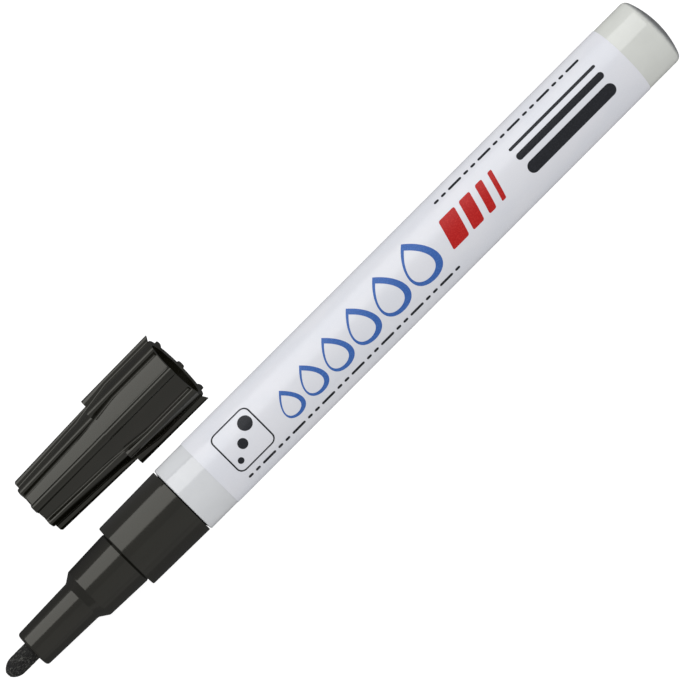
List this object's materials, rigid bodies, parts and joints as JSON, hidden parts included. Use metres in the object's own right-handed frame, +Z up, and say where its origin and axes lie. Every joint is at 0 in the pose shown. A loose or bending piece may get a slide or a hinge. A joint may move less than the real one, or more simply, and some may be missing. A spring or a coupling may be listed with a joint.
{
  "type": "paint marker",
  "caption": "Slim valve-action paint marker with a bullet fibre nib, a lacquered barrel in a wrapped label, and a ribbed push-on cap lying beside it.",
  "frame": {"origin": "on the marker's axis, half way along the label on the barrel", "axes": "+X along the marker from the writing tip to the closed end of the barrel, +Y towards the cap that lies beside it, +Z up from the table"},
  "size_m": [0.134, 0.0266, 0.0155],
  "materials": {
    "barrel_lacquer": "gloss",
    "label_print": "satin",
    "black_moulding": "satin",
    "nib_fibre": "matte",
    "valve_plastic": "satin",
    "seal_plastic": "matte",
    "spring_steel": "satin",
    "ball_steel": "polished"
  },
  "bodies": {
    "marker": {"barrel": "barrel_lacquer", "label_film": "label_print", "front_holder": "black_moulding", "valve_body": "valve_plastic", "spring_retainer": "valve_plastic", "valve_spring": "spring_steel"},
    "plunger": {"writing_nib": "nib_fibre", "valve_rod": "valve_plastic"},
    "ball": {"mixing_ball": "ball_steel"},
    "cap": {"cap_shell": "black_moulding", "inner_cap": "seal_plastic"}
  },
  "joints": [
    {"name": "nib_press", "type": "slide", "parent": "marker", "child": "plunger", "axis": [1, 0, 0], "range_m": [0, 0.0015], "stiffness_N_per_m": 500, "springref_m": -0.002, "deforming": ["valve_spring"]},
    {"name": "ball_travel", "type": "slide", "parent": "marker", "child": "ball", "axis": [1, 0, 0], "range_m": [-0.029, 0.054]},
    {"name": "cap_pull", "type": "slide", "parent": "marker", "child": "cap", "axis": [-1, 0, 0], "range_m": [0, 0.049]}
  ]
}
